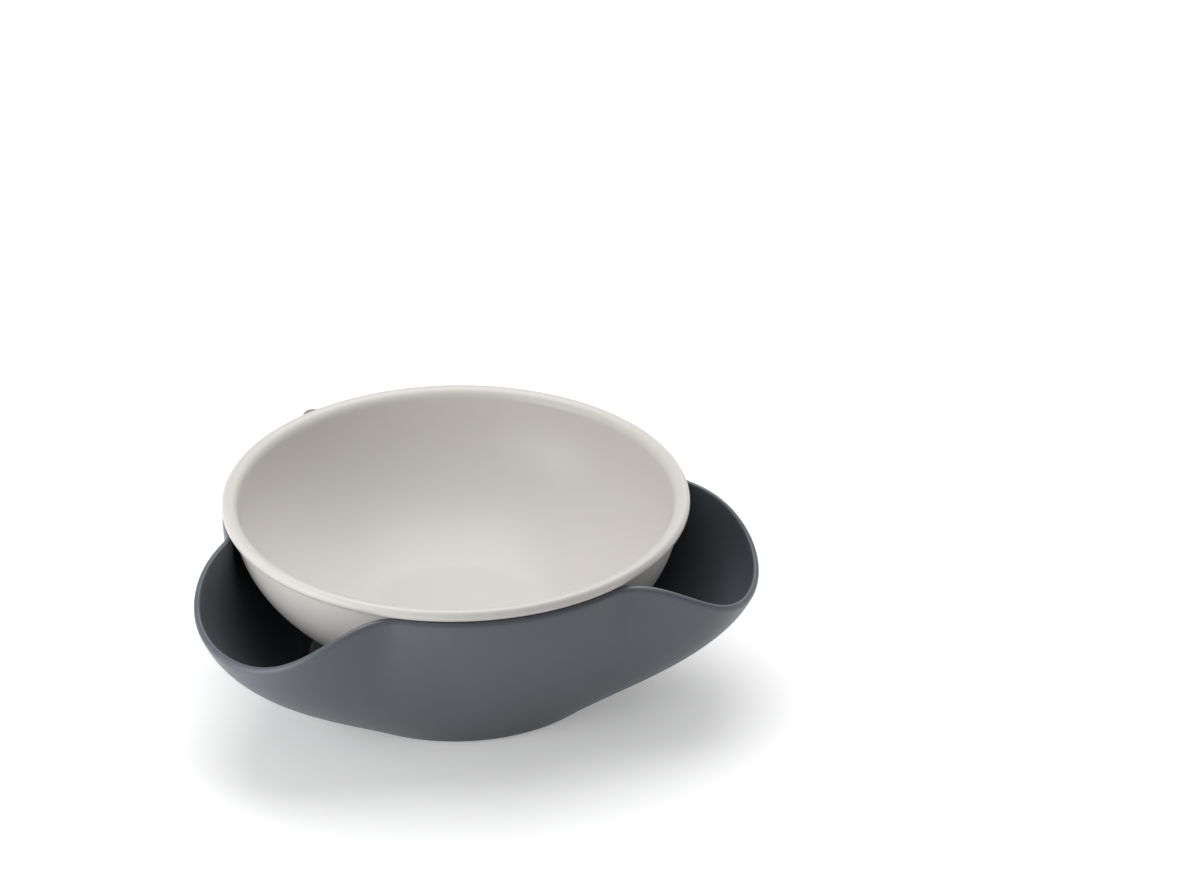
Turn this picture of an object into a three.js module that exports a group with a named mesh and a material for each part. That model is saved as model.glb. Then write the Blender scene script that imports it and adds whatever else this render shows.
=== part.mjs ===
// Two-piece serving bowl. A round bowl for the food hangs by its rim in a deeper catch dish.
// The dish's rim rises to crests that carry the bowl, and dips between them at wide ears that
// stand out past the bowl, where stones, shells and pips are dropped into the space below it.
// Millimetres, +Z up. The origin is the centre of the dish's flat base, and an ear points to +Y.
import * as THREE from "three";

const degrees = THREE.MathUtils.degToRad;

// Serving bowl
const rimDiameter = 155;
const rimBead = 3.9; // thickness of the round bead along the rim
const rimFillet = 0.8; // hollow corner between the wall and the bead's underside
const rimLedge = 0.25; // flat under the bead, from the fillet to the bead's round
const bowlDepth = 47; // centre of the bead to the underside of the foot
const bowlWall = 2.4;
const footSlope = degrees(22); // slope of the wall where it meets the foot's round edge
const footRound = 20; // radius of the foot's round edge

// Catch dish
const dishHeight = 60.7; // table to the top of a crest
const dishWall = 2.4;
const baseInset = 28.3; // edge of the flat underside, in from the bowl's rim
const baseRound = 4; // radius of the base's round edge
const lipInnerRound = 0.7; // rounding of the rim towards the inside, the rest is rounded outwards
const earCount = 3;
const earReach = 24.6; // how far an ear's rim stands out past the crests
const earHalfAngle = degrees(34.1); // from the middle of an ear to where it has died out
const earEvenness = 0.34; // a lower value gives the ear a broader, flatter end
const earDrop = 16.5; // how far an ear's rim dips below the crests
const dipHalfAngle = degrees(29.3); // from the middle of a dip to its end
const dipEvenness = 0.54; // the same, for the dip seen from the side
const footHalfAngle = degrees(55); // from the middle of an ear to where its wall has died out at the base
const footEvenness = 0.49; // the same as earEvenness, for the wall at the base
const earBaseSlope = degrees(27.2); // slope of the wall as it leaves the base, under an ear
const crestBaseSlope = degrees(61); // the same, under a crest
const earBasePull = 42.9; // how far the wall under an ear follows its slope at the base
const crestBasePull = 29.9; // the same, under a crest
const earLean = degrees(25); // outward lean of the wall at an ear's rim
const crestLean = degrees(0); // the same, at a crest
const earRimPull = 8; // how far the wall follows its lean at an ear's rim
const crestRimPull = 13.4; // the same, at a crest

// Seat of the bowl in the dish
const seatGap = 0.3; // bead's underside above the crests
const seatClearance = 0.45; // crests outside the bowl's wall

// Fineness of the surfaces
const bowlSides = 72;
const dishSides = 144;
const arcSteps = 3;
const beadSteps = 8;
const wallSteps = 9;

const beadRadius = rimBead / 2;
const wallTopRadius = rimDiameter / 2 - beadRadius - rimLedge - rimFillet;
const lipOuterRound = dishWall - lipInnerRound;
const baseRadius = rimDiameter / 2 - baseInset;

// Values from one number to another, in equal steps.
function spaced(from, to, steps) {
  return Array.from({ length: steps + 1 }, (_, i) => from + ((to - from) * i) / steps);
}

// Points on a round arc in a profile's plane. Angles run anticlockwise from the +X side.
function arc(x, y, radius, from, to, steps) {
  return spaced(from, to, steps).map(
    (a) => new THREE.Vector2(x + radius * Math.cos(a), y + radius * Math.sin(a)),
  );
}

// The bowl is turned from one closed profile: a flat foot with a wide round edge, a wall that
// follows an ellipse, and a round bead whose top runs down into the inside in a wider curve.
// The height 0 of the profile is the bead's centre.
function servingBowl() {
  // The ellipse reaches the foot's round edge just where its slope is footSlope.
  const reach = bowlDepth - footRound * (1 - Math.cos(footSlope));
  const lean = wallTopRadius * Math.tan(footSlope);
  const ellipseDepth = Math.sqrt((reach ** 2 + Math.sqrt(reach ** 4 + 4 * (reach * lean) ** 2)) / 2);
  const lowest = Math.atan2(ellipseDepth, lean);
  const highest = Math.asin((beadRadius + rimFillet) / ellipseDepth);

  // A point of the wall, some way in from its outside along the normal.
  const wallPoint = (a, inward) => {
    const normal = new THREE.Vector2(Math.cos(a) / wallTopRadius, -Math.sin(a) / ellipseDepth).normalize();
    const outside = new THREE.Vector2(wallTopRadius * Math.cos(a), -ellipseDepth * Math.sin(a));
    return outside.addScaledVector(normal, -inward);
  };

  const footEdge = wallPoint(lowest, footRound);
  const down = -Math.PI / 2;
  const beadCentre = rimDiameter / 2 - beadRadius;
  const filletHeight = -beadRadius - rimFillet;
  const filletCentre = wallPoint(highest, 0).x + rimFillet;
  const topRound = beadCentre - (wallTopRadius - bowlWall);
  const profile = [
    new THREE.Vector2(0, -bowlDepth),
    ...arc(footEdge.x, footEdge.y, footRound, down, down + footSlope, arcSteps),
    ...spaced(lowest, highest, wallSteps).slice(1).map((a) => wallPoint(a, 0)),
    ...arc(filletCentre, filletHeight, rimFillet, Math.PI, Math.PI / 2, arcSteps).slice(1),
    ...arc(beadCentre, 0, beadRadius, down, Math.PI / 2, beadSteps),
    ...arc(beadCentre, beadRadius - topRound, topRound, Math.PI / 2, Math.PI, arcSteps).slice(1),
    ...spaced(highest, lowest, wallSteps).slice(1).map((a) => wallPoint(a, bowlWall)),
    ...arc(footEdge.x, footEdge.y, footRound - bowlWall, down + footSlope, down, arcSteps).slice(1),
    new THREE.Vector2(0, bowlWall - bowlDepth),
  ];
  return new THREE.LatheGeometry(profile, bowlSides).rotateX(Math.PI / 2);
}

// A swell round the middle of each ear: 1 at the middle, 0 from halfAngle on, smooth between.
function swell(angle, halfAngle, evenness) {
  const pitch = (2 * Math.PI) / earCount;
  const fromEar = angle - Math.PI / 2;
  const off = Math.abs(fromEar - pitch * Math.round(fromEar / pitch));
  const way = Math.min(1, off / halfAngle);
  const wave = (1 + Math.cos(Math.PI * THREE.MathUtils.lerp(way ** 3, way, evenness))) / 2;
  return wave ** 2;
}

// Radius of the line along the top of the dish's rim.
function rimRadius(angle) {
  return wallTopRadius + seatClearance + lipInnerRound + earReach * swell(angle, earHalfAngle, earEvenness);
}

// The rim at one angle: the point on its top line, the level direction square to that line, and how
// the wall below ends there: its lean square to the line, its lean from the axis, and its pull.
function rimAt(angle) {
  const step = 1e-4;
  const radius = rimRadius(angle);
  const growth = (rimRadius(angle + step) - rimRadius(angle - step)) / (2 * step);
  const outward = new THREE.Vector3(radius, -growth, 0).normalize();
  const ear = swell(angle, earHalfAngle, earEvenness);
  const radialLean = THREE.MathUtils.lerp(crestLean, earLean, ear);
  const lean = Math.atan(Math.tan(radialLean) * outward.x);
  outward.applyAxisAngle(new THREE.Vector3(0, 0, 1), angle);
  const height = dishHeight - earDrop * swell(angle, dipHalfAngle, dipEvenness);
  const top = new THREE.Vector3(radius * Math.cos(angle), radius * Math.sin(angle), height);
  return { top, outward, lean, radialLean, pull: THREE.MathUtils.lerp(crestRimPull, earRimPull, ear) };
}

// A point on the rim's rounding: a wide round outside and a small one inside, which meet where the
// wall's lean points. turn is the angle of the surface's normal from upright, positive outwards.
function lipPoint(rim, turn) {
  const isOutside = turn > rim.lean;
  const radius = isOutside ? lipOuterRound : lipInnerRound;
  const centreShift = lipOuterRound - radius;
  const point = rim.top.clone();
  point.addScaledVector(rim.outward, centreShift * Math.sin(rim.lean) + radius * Math.sin(turn));
  point.z += centreShift * Math.cos(rim.lean) + radius * Math.cos(turn) - lipOuterRound;
  return point;
}

// A point on the dish's outside. way runs from 0 to 1 round the base's edge and from 1 to 2 up the
// wall, which is a cubic curve that leaves the base on its slope and meets the rim on its lean.
function outsidePoint(angle, way) {
  const rim = rimAt(angle);
  const ear = swell(angle, footHalfAngle, footEvenness);
  const slope = THREE.MathUtils.lerp(crestBaseSlope, earBaseSlope, ear);
  const basePull = THREE.MathUtils.lerp(crestBasePull, earBasePull, ear);
  const radial = new THREE.Vector3(Math.cos(angle), Math.sin(angle), 0);
  const turn = slope * Math.min(way, 1);
  const foot = radial.clone().multiplyScalar(baseRadius + baseRound * Math.sin(turn));
  foot.z = baseRound * (1 - Math.cos(turn));
  if (way <= 1) return foot;
  const start = radial.clone().multiplyScalar(basePull * Math.cos(slope)).add(foot);
  start.z += basePull * Math.sin(slope);
  const end = lipPoint(rim, Math.PI / 2 + rim.lean);
  const finish = end.clone().addScaledVector(radial, -rim.pull * Math.sin(rim.radialLean));
  finish.z -= rim.pull * Math.cos(rim.radialLean);
  return new THREE.CubicBezierCurve3(foot, start, finish, end).getPoint(way - 1);
}

// A point on the dish's inside, one wall thickness in from the outside along the normal.
function insidePoint(angle, way) {
  const step = 1e-4;
  const up = outsidePoint(angle, Math.min(way + step, 2)).sub(outsidePoint(angle, Math.max(way - step, 0)));
  const round = outsidePoint(angle + step, way).sub(outsidePoint(angle - step, way));
  const normal = round.cross(up).normalize();
  return outsidePoint(angle, way).addScaledVector(normal, -dishWall);
}

// The dish is one closed skin: rings from the middle of the underside out to the base's edge, up
// the outside, over the rim, down the inside and across the floor.
function catchDish() {
  const ways = [...spaced(0, 1, arcSteps), ...spaced(1, 2, wallSteps).slice(1)];
  const ring = (pointAt) => spaced(0, 2 * Math.PI, dishSides).slice(0, dishSides).map(pointAt);
  const lipRing = (turn) =>
    ring((angle) => {
      const rim = rimAt(angle);
      return lipPoint(rim, rim.lean + turn);
    });
  const rings = [
    ...ways.map((way) => ring((angle) => outsidePoint(angle, way))),
    ...spaced(Math.PI / 2, 0, arcSteps).slice(1).map(lipRing),
    ...spaced(0, -Math.PI / 2, arcSteps).slice(1).map(lipRing),
    ...ways.toReversed().map((way) => ring((angle) => insidePoint(angle, way))),
  ];
  const points = [...rings.flat(), new THREE.Vector3(0, 0, 0), new THREE.Vector3(0, 0, dishWall)];
  const under = points.length - 2;
  const floor = points.length - 1;
  const lastRing = (rings.length - 1) * dishSides;
  const triangles = [];
  for (let side = 0; side < dishSides; side++) {
    const next = (side + 1) % dishSides;
    triangles.push(under, next, side);
    for (let low = 0; low < lastRing; low += dishSides) {
      const high = low + dishSides;
      triangles.push(low + side, low + next, high + next);
      triangles.push(low + side, high + next, high + side);
    }
    triangles.push(floor, lastRing + side, lastRing + next);
  }
  const geometry = new THREE.BufferGeometry().setFromPoints(points);
  geometry.setIndex(triangles);
  geometry.computeVertexNormals();
  return geometry;
}

const paleGrey = new THREE.MeshStandardMaterial({ color: 0xd6d2ce, roughness: 0.5, metalness: 0 });
const slateGrey = new THREE.MeshStandardMaterial({ color: 0x5b6066, roughness: 0.55, metalness: 0 });

const dish = new THREE.Mesh(catchDish(), slateGrey);
dish.name = "catch_dish";

const bowl = new THREE.Mesh(servingBowl(), paleGrey);
bowl.name = "serving_bowl";
bowl.position.z = dishHeight + seatGap + beadRadius;

const assembly = new THREE.Group();
assembly.add(dish, bowl);

export default assembly;
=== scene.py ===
"""Looks of a two-piece serving bowl: a pale round bowl hung by its rim in a dark catch dish.

Metres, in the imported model's frame: +Z up, the origin at the centre of the dish's base, an ear at
+Y.
"""

import math

import bpy
import numpy as np
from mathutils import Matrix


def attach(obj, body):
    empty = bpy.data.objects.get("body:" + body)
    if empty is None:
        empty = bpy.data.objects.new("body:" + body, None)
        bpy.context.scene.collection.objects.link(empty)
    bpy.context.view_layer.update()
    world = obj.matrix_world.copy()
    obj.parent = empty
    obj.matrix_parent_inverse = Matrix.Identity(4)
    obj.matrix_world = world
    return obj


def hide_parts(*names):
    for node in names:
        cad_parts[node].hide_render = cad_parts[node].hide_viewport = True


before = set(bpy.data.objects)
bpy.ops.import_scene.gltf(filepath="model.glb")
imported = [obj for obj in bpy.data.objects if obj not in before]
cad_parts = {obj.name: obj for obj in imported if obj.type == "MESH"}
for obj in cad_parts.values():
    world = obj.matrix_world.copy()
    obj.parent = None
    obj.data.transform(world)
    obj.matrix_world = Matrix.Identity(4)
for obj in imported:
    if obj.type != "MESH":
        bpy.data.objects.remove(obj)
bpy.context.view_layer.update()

# Catch dish.
# The real piece is one injection moulding in dark slate-grey plastic with a fine matt tool grain.
# Its rim rises to three crests that carry the bowl and dips between them at three flared ears.
MM = 0.001
BOWL_WALL_TOP_RADIUS = 74.5 * MM
SEAT_CLEARANCE = 0.45 * MM
DISH_HEIGHT = 60.7 * MM
DISH_WALL = 2.4 * MM
BASE_RADIUS = 49.2 * MM
BASE_ROUND = 4 * MM
LIP_INNER_ROUND = 0.7 * MM
LIP_OUTER_ROUND = DISH_WALL - LIP_INNER_ROUND
EAR_COUNT = 3
FIRST_EAR = np.pi / 2
EAR_HALF_ANGLE = math.radians(34.1)
EAR_EVENNESS = 0.34
EAR_DROP = 16.5 * MM
DIP_HALF_ANGLE = math.radians(29.3)
DIP_EVENNESS = 0.54
FOOT_HALF_ANGLE = math.radians(55)
FOOT_EVENNESS = 0.49
EAR_BASE_SLOPE = math.radians(27.2)
CREST_BASE_SLOPE = math.radians(61)
EAR_BASE_PULL = 42.9 * MM
CREST_BASE_PULL = 29.9 * MM
EAR_LEAN = math.radians(25)
CREST_LEAN = 0.0
EAR_RIM_PULL = 8 * MM
# These two are 0.1 mm under the CAD model's, so that this finer skin keeps inside its box.
EAR_REACH = 24.5 * MM
CREST_RIM_PULL = 13.3 * MM
DISH_SIDES = 360
DISH_WALL_RINGS = 44
DISH_ROUND_RINGS = 7
SMALL_STEP = 1e-4
HANDLED_BAND = 9 * MM
UP = np.array([0.0, 0.0, 1.0])
SLATE = (0.105, 0.117, 0.133, 1)
PLASTIC_IOR = 1.49
GRAIN_DETAIL = 1
DRIFT_SCALE, DRIFT_DETAIL = 38, 3
NOISE_MIDDLE = 0.5


def swell(angle, half_angle, evenness):
    """1 at the middle of an ear and 0 from half_angle on: the square of a raised cosine, whose
    phase is a mix of the way out from the middle and of its cube."""
    pitch = 2 * np.pi / EAR_COUNT
    from_ear = angle - FIRST_EAR
    off = np.abs(from_ear - pitch * np.round(from_ear / pitch))
    way = np.minimum(1, off / half_angle)
    return ((1 + np.cos(np.pi * (way**3 + evenness * (way - way**3)))) / 2) ** 2


def radial(angle):
    """Level unit vectors at the given angles round the axis."""
    return np.stack([np.cos(angle), np.sin(angle), 0 * angle], -1)


def rim_radius(angle):
    """Radius of the line along the top of the rim: a circle just outside the bowl's wall, plus the
    ears' reach times their swell."""
    circle = BOWL_WALL_TOP_RADIUS + SEAT_CLEARANCE + LIP_INNER_ROUND
    return circle + EAR_REACH * swell(angle, EAR_HALF_ANGLE, EAR_EVENNESS)


def rim_line(angle):
    """The rim's top line, lowered at the ears by their dip, and the level direction square to it,
    which is the line's step round the axis turned by a right angle."""
    radius = rim_radius(angle)[..., None]
    further, nearer = rim_radius(angle + SMALL_STEP), rim_radius(angle - SMALL_STEP)
    growth = (further - nearer)[..., None] / (2 * SMALL_STEP)
    outward = radius * radial(angle) - growth * radial(angle + np.pi / 2)
    outward = outward / np.linalg.norm(outward, axis=-1, keepdims=True)
    height = DISH_HEIGHT - EAR_DROP * swell(angle, DIP_HALF_ANGLE, DIP_EVENNESS)
    return radius * radial(angle) + height[..., None] * UP, outward


def wall_lean(angle):
    """Outward lean of the wall at the rim, in the plane through the axis: the ears' and the crests'
    lean, mixed by the ears' swell."""
    return CREST_LEAN + (EAR_LEAN - CREST_LEAN) * swell(angle, EAR_HALF_ANGLE, EAR_EVENNESS)


def dish_lip(angle, turn):
    """The rim's rounding: a wide round outside and a small one inside, which meet where the wall's
    lean points, seen square to the rim. turn is the angle of the normal from that lean, positive
    outwards."""
    top, outward = rim_line(angle)
    lean = np.arctan(np.tan(wall_lean(angle)) * np.sum(outward * radial(angle), -1))
    radius = np.where(turn > 0, LIP_OUTER_ROUND, LIP_INNER_ROUND)
    shift = LIP_OUTER_ROUND - radius
    across = shift * np.sin(lean) + radius * np.sin(lean + turn)
    rise = shift * np.cos(lean) + radius * np.cos(lean + turn) - LIP_OUTER_ROUND
    return top + across[..., None] * outward + rise[..., None] * UP


def dish_outside(angle, way):
    """The outside. way 0 to 1 is the base's round edge, turned up to the wall's slope; 1 to 2 is
    the wall, a cubic curve that leaves the base on that slope and meets the rim on its lean."""
    foot_ear = swell(angle, FOOT_HALF_ANGLE, FOOT_EVENNESS)
    slope = CREST_BASE_SLOPE + (EAR_BASE_SLOPE - CREST_BASE_SLOPE) * foot_ear
    base_pull = (CREST_BASE_PULL + (EAR_BASE_PULL - CREST_BASE_PULL) * foot_ear)[..., None]
    turn = slope * np.minimum(way, 1)
    foot = (BASE_RADIUS + BASE_ROUND * np.sin(turn))[..., None] * radial(angle)
    foot = foot + (BASE_ROUND * (1 - np.cos(turn)))[..., None] * UP
    climb = np.cos(slope)[..., None] * radial(angle) + np.sin(slope)[..., None] * UP
    start = foot + base_pull * climb
    rim_ear = swell(angle, EAR_HALF_ANGLE, EAR_EVENNESS)
    rim_pull = (CREST_RIM_PULL + (EAR_RIM_PULL - CREST_RIM_PULL) * rim_ear)[..., None]
    lean = wall_lean(angle)[..., None]
    end = dish_lip(angle, np.full_like(angle, np.pi / 2))
    finish = end - rim_pull * (np.sin(lean) * radial(angle) + np.cos(lean) * UP)
    t = np.maximum(way - 1, 0)[..., None]
    lower = (1 - t) ** 3 * foot + 3 * t * (1 - t) ** 2 * start
    return lower + 3 * t**2 * (1 - t) * finish + t**3 * end


def dish_inside(angle, way):
    """The inside: the outside moved in by the wall's thickness along its normal, which is the cross
    product of the steps round the axis and up the wall."""
    above, below = np.minimum(way + SMALL_STEP, 2), np.maximum(way - SMALL_STEP, 0)
    up = dish_outside(angle, above) - dish_outside(angle, below)
    around = dish_outside(angle + SMALL_STEP, way) - dish_outside(angle - SMALL_STEP, way)
    normal = np.cross(around, up)
    normal /= np.linalg.norm(normal, axis=-1, keepdims=True)
    return dish_outside(angle, way) - DISH_WALL * normal


def closed_skin(name, rings, first_pole, last_pole, handled):
    """A closed mesh over a grid of rings, with a fan of triangles to a pole at each end. handled is
    a value for each ring and side, kept as an attribute that the finish reads."""
    count, sides = rings.shape[:2]
    points = np.concatenate([rings.reshape(-1, 3), [first_pole, last_pole]])
    ring = np.arange(count - 1)[:, None] * sides
    following_ring = ring + sides
    side = np.arange(sides)[None, :]
    following = (side + 1) % sides
    quads = np.stack([
        ring + side, ring + following, following_ring + following, following_ring + side,
    ], -1)
    side, following = side[0], following[0]
    last = (count - 1) * sides
    first_fan = np.stack([np.full(sides, count * sides), following, side], -1)
    last_fan = np.stack([np.full(sides, count * sides + 1), last + side, last + following], -1)
    corners = np.concatenate([quads.ravel(), first_fan.ravel(), last_fan.ravel()])
    sizes = np.concatenate([np.full(quads.size // 4, 4), np.full(2 * sides, 3)])
    mesh = bpy.data.meshes.new(name)
    mesh.vertices.add(len(points))
    mesh.vertices.foreach_set("co", points.ravel())
    mesh.loops.add(len(corners))
    mesh.loops.foreach_set("vertex_index", corners.astype(np.int32))
    mesh.polygons.add(len(sizes))
    mesh.polygons.foreach_set("loop_start", (np.cumsum(sizes) - sizes).astype(np.int32))
    mesh.polygons.foreach_set("use_smooth", np.ones(len(sizes), bool))
    mesh.update(calc_edges=True)
    values = np.concatenate([handled.ravel(), [0, 0]])
    mesh.attributes.new("handled", "FLOAT", "POINT").data.foreach_set("value", values)
    mesh.validate()
    piece = bpy.data.objects.new(name, mesh)
    bpy.context.scene.collection.objects.link(piece)
    return piece


dish_angle = np.linspace(0, 2 * np.pi, DISH_SIDES, endpoint=False)[None, :]
base_way = np.linspace(0, 1, DISH_ROUND_RINGS)
wall_way = np.linspace(1, 2, DISH_WALL_RINGS)[1:]
dish_way = np.concatenate([base_way, wall_way])[:, None]
lip_turn = np.linspace(np.pi / 2, -np.pi / 2, 2 * DISH_ROUND_RINGS + 1)[1:, None]
dish_way, way_angle = np.broadcast_arrays(dish_way, dish_angle)
lip_turn, lip_angle = np.broadcast_arrays(lip_turn, dish_angle)
dish_rings = np.concatenate([
    dish_outside(way_angle, dish_way),
    dish_lip(lip_angle, lip_turn),
    dish_inside(way_angle, dish_way)[::-1],
])
below_rim = rim_line(dish_angle)[0][..., 2] - dish_rings[..., 2]
dish_handled = np.clip(1 - below_rim / HANDLED_BAND, 0, 1)
dish = closed_skin("catch_dish_moulding", dish_rings, 0 * UP, DISH_WALL * UP, dish_handled)


def worked_out(tree, operation, *values):
    """The output of a new Math node. Each value is another node's output or a plain number."""
    node = tree.nodes.new("ShaderNodeMath")
    node.operation = operation
    for socket, value in zip(node.inputs, values):
        if isinstance(value, bpy.types.NodeSocket):
            tree.links.new(value, socket)
        else:
            socket.default_value = value
    return node.outputs[0]


def moulded_finish_group():
    """Shared finish of the mouldings: a fine tool grain for the bump, slow drifts of colour and of
    roughness, and a smoother, slightly worn band where the rim is handled. Colour is multiplied by
    one plus the drift; roughness is the drift times its spread, plus its level, less the polish."""
    group = bpy.data.node_groups.new("moulded_finish", "ShaderNodeTree")
    for in_out, label, kind in (
        ("INPUT", "Colour", "NodeSocketColor"),
        ("INPUT", "Drift", "NodeSocketFloat"),
        ("INPUT", "Roughness", "NodeSocketFloat"),
        ("INPUT", "Spread", "NodeSocketFloat"),
        ("INPUT", "Polish", "NodeSocketFloat"),
        ("INPUT", "Handled", "NodeSocketFloat"),
        ("INPUT", "Grain Scale", "NodeSocketFloat"),
        ("OUTPUT", "Colour", "NodeSocketColor"),
        ("OUTPUT", "Roughness", "NodeSocketFloat"),
        ("OUTPUT", "Grain", "NodeSocketFloat"),
    ):
        group.interface.new_socket(label, in_out=in_out, socket_type=kind)
    add, link = group.nodes.new, group.links.new
    given, result = add("NodeGroupInput").outputs, add("NodeGroupOutput").inputs
    place = add("ShaderNodeTexCoord").outputs["Object"]

    grain = add("ShaderNodeTexNoise")
    grain.inputs["Detail"].default_value = GRAIN_DETAIL
    link(place, grain.inputs["Vector"])
    link(given["Grain Scale"], grain.inputs["Scale"])
    link(grain.outputs["Fac"], result["Grain"])

    drift = add("ShaderNodeTexNoise")
    drift.inputs["Scale"].default_value = DRIFT_SCALE
    drift.inputs["Detail"].default_value = DRIFT_DETAIL
    link(place, drift.inputs["Vector"])
    centred = worked_out(group, "SUBTRACT", drift.outputs["Fac"], NOISE_MIDDLE)

    tint = add("ShaderNodeVectorMath")
    tint.operation = "SCALE"
    link(given["Colour"], tint.inputs[0])
    link(worked_out(group, "MULTIPLY_ADD", centred, given["Drift"], 1), tint.inputs["Scale"])
    link(tint.outputs[0], result["Colour"])

    smear = worked_out(group, "MULTIPLY_ADD", centred, given["Spread"], given["Roughness"])
    rubbed = worked_out(group, "MULTIPLY", given["Handled"], given["Polish"])
    link(worked_out(group, "SUBTRACT", smear, rubbed), result["Roughness"])
    return group


moulded_finish = moulded_finish_group()


def moulded_plastic(name, colour, drift, roughness, spread, polish, grain_scale, grain_depth):
    """A moulded plastic: the shared finish feeds colour, roughness and bump of one Principled
    shader."""
    material = bpy.data.materials.new(name)
    material.use_nodes = True
    nodes, link = material.node_tree.nodes, material.node_tree.links.new
    shader = nodes["Principled BSDF"]
    finish = nodes.new("ShaderNodeGroup")
    finish.node_tree = moulded_finish
    handled = nodes.new("ShaderNodeAttribute")
    handled.attribute_name = "handled"
    link(handled.outputs["Fac"], finish.inputs["Handled"])
    for label, value in (
        ("Colour", colour),
        ("Drift", drift),
        ("Roughness", roughness),
        ("Spread", spread),
        ("Polish", polish),
        ("Grain Scale", grain_scale),
    ):
        finish.inputs[label].default_value = value
    bump = nodes.new("ShaderNodeBump")
    bump.inputs["Strength"].default_value = 1
    bump.inputs["Distance"].default_value = grain_depth
    link(finish.outputs["Grain"], bump.inputs["Height"])
    link(bump.outputs["Normal"], shader.inputs["Normal"])
    link(finish.outputs["Colour"], shader.inputs["Base Color"])
    link(finish.outputs["Roughness"], shader.inputs["Roughness"])
    shader.inputs["IOR"].default_value = PLASTIC_IOR
    material.diffuse_color = colour
    return material


slate_plastic = moulded_plastic(
    "slate_plastic", SLATE, drift=0.05, roughness=0.42, spread=0.1, polish=0.06,
    grain_scale=1400, grain_depth=0.012 * MM,
)
dish.data.materials.append(slate_plastic)
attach(dish, "catch_dish")
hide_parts("catch_dish")

# Serving bowl.
# The real piece is one injection moulding in warm pale-grey plastic with a satin finish. A bead
# along its rim rests on the dish's crests, and its top runs down into the inside in a wider curve.
RIM_RADIUS = 77.5 * MM
BEAD_RADIUS = 1.95 * MM
RIM_FILLET = 0.8 * MM
BOWL_DEPTH = 47 * MM
BOWL_WALL = 2.4 * MM
FOOT_SLOPE = math.radians(22)
FOOT_ROUND = 20 * MM
SEAT_GAP = 0.3 * MM
BEAD_HEIGHT = DISH_HEIGHT + SEAT_GAP + BEAD_RADIUS
BOWL_SIDES = 288
FOOT_POINTS, WALL_POINTS, FILLET_POINTS, BEAD_POINTS, TOP_POINTS = 10, 40, 6, 21, 12
PALE = (0.668, 0.643, 0.617, 1)


def arc(centre, radius, start, end, count):
    """Points of a round arc in the plane of the profile: the centre plus the radius times the
    cosine and the sine of the angle, which is 0 on the outward side and grows towards the top."""
    angle = np.linspace(start, end, count)
    return np.stack([centre[0] + radius * np.cos(angle), centre[1] + radius * np.sin(angle)], -1)


def bowl_profile():
    """Half section of the bowl as distance from the axis and height over the bead's centre: a flat
    foot with a wide round edge, an ellipse that reaches that edge at the foot's slope, a fillet,
    the bead, and the same wall moved in by its thickness."""
    reach = BOWL_DEPTH - FOOT_ROUND * (1 - math.cos(FOOT_SLOPE))
    lean = BOWL_WALL_TOP_RADIUS * math.tan(FOOT_SLOPE)
    ellipse_depth = math.sqrt((reach**2 + math.sqrt(reach**4 + 4 * (reach * lean) ** 2)) / 2)
    lowest = math.atan2(ellipse_depth, lean)
    highest = math.asin((BEAD_RADIUS + RIM_FILLET) / ellipse_depth)

    def wall(angle, inward):
        """Points of the ellipse, moved in along its normal."""
        across, depth = np.cos(angle), np.sin(angle)
        normal = np.stack([across / BOWL_WALL_TOP_RADIUS, -depth / ellipse_depth], -1)
        normal /= np.linalg.norm(normal, axis=-1, keepdims=True)
        outside = np.stack([BOWL_WALL_TOP_RADIUS * across, -ellipse_depth * depth], -1)
        return outside - inward * normal

    bottom, top, inner = -np.pi / 2, np.pi / 2, np.pi
    foot_edge = wall(np.array(lowest), FOOT_ROUND)
    bead_centre = RIM_RADIUS - BEAD_RADIUS
    fillet_centre = wall(np.array(highest), 0)[0] + RIM_FILLET
    top_round = bead_centre - (BOWL_WALL_TOP_RADIUS - BOWL_WALL)
    rising = np.linspace(lowest, highest, WALL_POINTS)
    return np.concatenate([
        arc(foot_edge, FOOT_ROUND, bottom, bottom + FOOT_SLOPE, FOOT_POINTS),
        wall(rising, 0)[1:],
        arc((fillet_centre, -BEAD_RADIUS - RIM_FILLET), RIM_FILLET, inner, top, FILLET_POINTS)[1:],
        arc((bead_centre, 0), BEAD_RADIUS, bottom, top, BEAD_POINTS),
        arc((bead_centre, BEAD_RADIUS - top_round), top_round, top, inner, TOP_POINTS)[1:],
        wall(rising[::-1], BOWL_WALL),
        arc(foot_edge, FOOT_ROUND - BOWL_WALL, bottom + FOOT_SLOPE, bottom, FOOT_POINTS)[1:],
    ])


profile = bowl_profile()
profile_out, profile_up = profile[:, 0, None], profile[:, 1, None]
bowl_angle = np.linspace(0, 2 * np.pi, BOWL_SIDES, endpoint=False)[None, :]
bowl_rings = profile_out[..., None] * radial(bowl_angle)
bowl_rings = bowl_rings + (BEAD_HEIGHT + profile_up[..., None]) * UP
bowl_handled = np.clip(1 + (profile_up - BEAD_RADIUS) / HANDLED_BAND, 0, 1) + 0 * bowl_angle
bowl = closed_skin(
    "serving_bowl_moulding",
    bowl_rings,
    (BEAD_HEIGHT - BOWL_DEPTH) * UP,
    (BEAD_HEIGHT - BOWL_DEPTH + BOWL_WALL) * UP,
    bowl_handled,
)
pale_plastic = moulded_plastic(
    "pale_plastic", PALE, drift=0.03, roughness=0.4, spread=0.1, polish=0.06,
    grain_scale=1600, grain_depth=0.006 * MM,
)
bowl.data.materials.append(pale_plastic)
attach(bowl, "serving_bowl")
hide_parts("serving_bowl")

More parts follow.
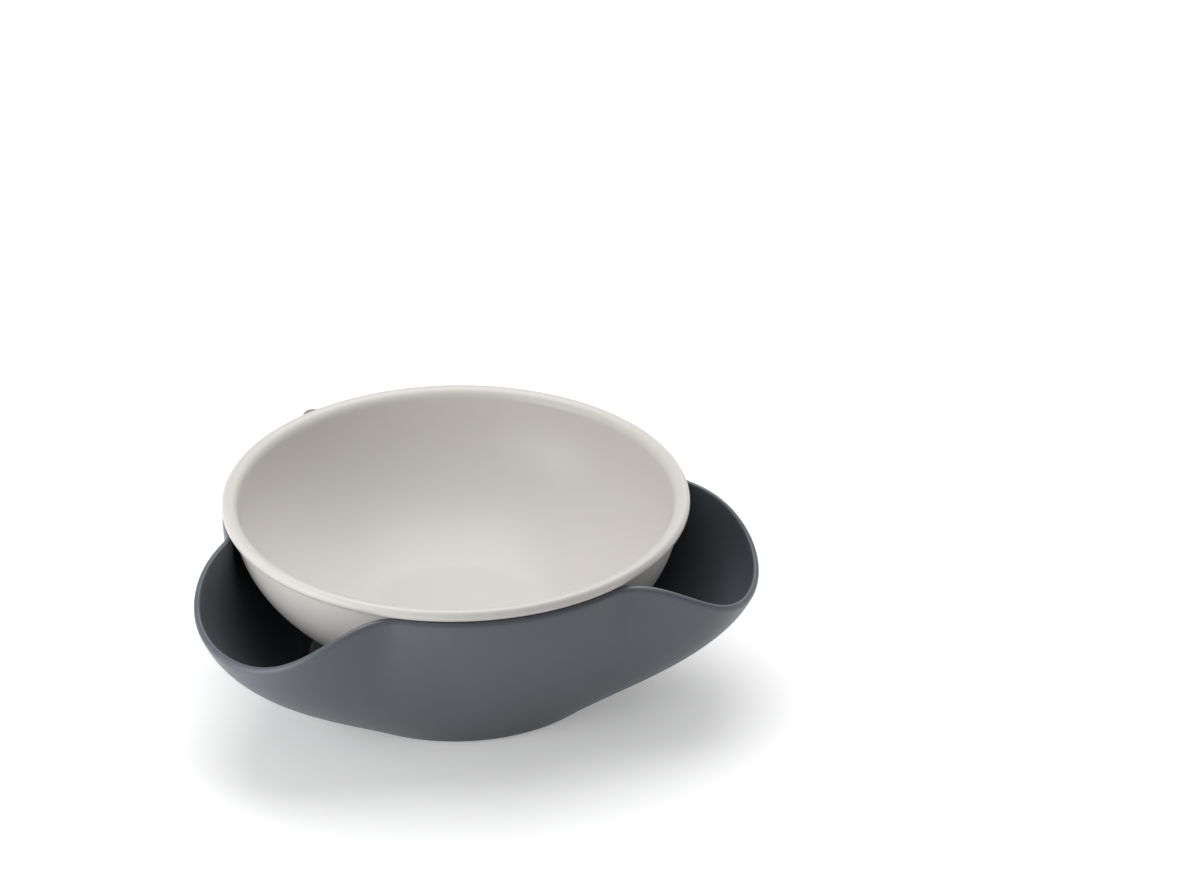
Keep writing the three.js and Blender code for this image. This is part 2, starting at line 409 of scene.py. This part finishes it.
# Floor.
# A wide plain white table top that takes the dish's shadow. A little light of its own, for the
# camera and for reflections only, grows with the distance and keeps the far floor white.
FLOOR_HALF = 6.0
FLOOR_DEPTH = 0.05 * MM
FLOOR_WHITE = (0.86, 0.86, 0.86, 1)
FLOOR_ROUGHNESS = 0.9
FLOOR_SPECULAR = 0.1
NEAR_LIFT, FAR_LIFT = 0.28, 0.75
SHADOW_REACH, WHITE_REACH = 0.18, 0.6
WHITE = (1, 1, 1, 1)
floor_mesh = bpy.data.meshes.new("floor")
floor_corners = np.array([[-1, -1], [1, -1], [1, 1], [-1, 1]]) * FLOOR_HALF
floor_points = np.c_[floor_corners, np.full(4, -FLOOR_DEPTH)]
floor_mesh.from_pydata(floor_points.tolist(), [], [(0, 1, 2, 3)])
floor = bpy.data.objects.new("floor", floor_mesh)
bpy.context.scene.collection.objects.link(floor)
floor_paint = bpy.data.materials.new("floor_paint")
floor_paint.use_nodes = True
floor_tree = floor_paint.node_tree
floor_place = floor_tree.nodes.new("ShaderNodeTexCoord")
floor_way = floor_tree.nodes.new("ShaderNodeVectorMath")
floor_way.operation = "LENGTH"
floor_tree.links.new(floor_place.outputs["Object"], floor_way.inputs[0])
floor_fade = floor_tree.nodes.new("ShaderNodeMapRange")
floor_fade.interpolation_type = "SMOOTHSTEP"
floor_fade.inputs["From Min"].default_value = SHADOW_REACH
floor_fade.inputs["From Max"].default_value = WHITE_REACH
floor_fade.inputs["To Min"].default_value = NEAR_LIFT
floor_fade.inputs["To Max"].default_value = FAR_LIFT
floor_tree.links.new(floor_way.outputs["Value"], floor_fade.inputs["Value"])
floor_sight = floor_tree.nodes.new("ShaderNodeLightPath").outputs
floor_seen = worked_out(
    floor_tree, "MAXIMUM", floor_sight["Is Camera Ray"], floor_sight["Is Glossy Ray"],
)
floor_lift = worked_out(floor_tree, "MULTIPLY", floor_seen, floor_fade.outputs["Result"])
floor_shader = floor_tree.nodes["Principled BSDF"]
floor_shader.inputs["Base Color"].default_value = FLOOR_WHITE
floor_shader.inputs["Roughness"].default_value = FLOOR_ROUGHNESS
floor_shader.inputs["Specular IOR Level"].default_value = FLOOR_SPECULAR
floor_shader.inputs["Emission Color"].default_value = WHITE
floor_tree.links.new(floor_lift, floor_shader.inputs["Emission Strength"])
floor_mesh.materials.append(floor_paint)

# Studio light.
# A white room with a large soft box overhead, one behind on the right and a small one close by on
# the left. The front has no lamp of its own, so the dish's front wall falls into half shade.
VIEW_TURN = math.radians(-15)
ROOM_LIGHT = 0.31
world = bpy.data.worlds.new("studio")
bpy.context.scene.world = world
world.use_nodes = True
room_nodes, room_link = world.node_tree.nodes, world.node_tree.links.new
room = room_nodes["Background"]
room.inputs["Color"].default_value = WHITE
room_sight = room_nodes.new("ShaderNodeLightPath")
room_level = room_nodes.new("ShaderNodeMapRange")
room_level.inputs["To Min"].default_value = ROOM_LIGHT
room_level.inputs["To Max"].default_value = 1
room_link(room_sight.outputs["Is Camera Ray"], room_level.inputs["Value"])
room_link(room_level.outputs["Result"], room.inputs["Strength"])


def soft_box(name, side, height, distance, size, power):
    """A square area lamp aimed at the dish's base: its place is the distance times the direction of
    side, in degrees to the right of the camera, and height, in degrees over the floor."""
    lamp = bpy.data.lights.new(name, "AREA")
    lamp.size = size
    lamp.energy = power
    holder = bpy.data.objects.new(name, lamp)
    bpy.context.scene.collection.objects.link(holder)
    turn, rise = math.radians(side) + VIEW_TURN, math.radians(height)
    level = math.cos(rise)
    toward = np.array([math.sin(turn) * level, -math.cos(turn) * level, math.sin(rise)])
    holder.location = distance * toward
    holder.rotation_euler = (math.pi / 2 - rise, 0, turn)
    holder.visible_camera = False


soft_box("left_box", side=-55, height=18, distance=0.42, size=0.3, power=0.92)
soft_box("overhead_box", side=180, height=74, distance=1.1, size=0.9, power=8.2)
soft_box("right_box", side=150, height=35, distance=1.1, size=0.8, power=2.4)

# Camera.
# It stands where the photograph was taken from: a long lens, looking down on the rim.
SENSOR_WIDTH = 36
LENS_LENGTH = 180
CAMERA_PLACE = (-401.3 * MM, -1681.9 * MM, 1040.3 * MM)
CAMERA_TILT = math.radians(61.025)
camera_data = bpy.data.cameras.new("camera")
camera_data.sensor_width = SENSOR_WIDTH
camera_data.lens = LENS_LENGTH
camera = bpy.data.objects.new("camera", camera_data)
bpy.context.scene.collection.objects.link(camera)
camera.location = CAMERA_PLACE
camera.rotation_euler = (CAMERA_TILT, 0, VIEW_TURN)
bpy.context.scene.camera = camera
bpy.context.scene.view_settings.view_transform = "Standard"
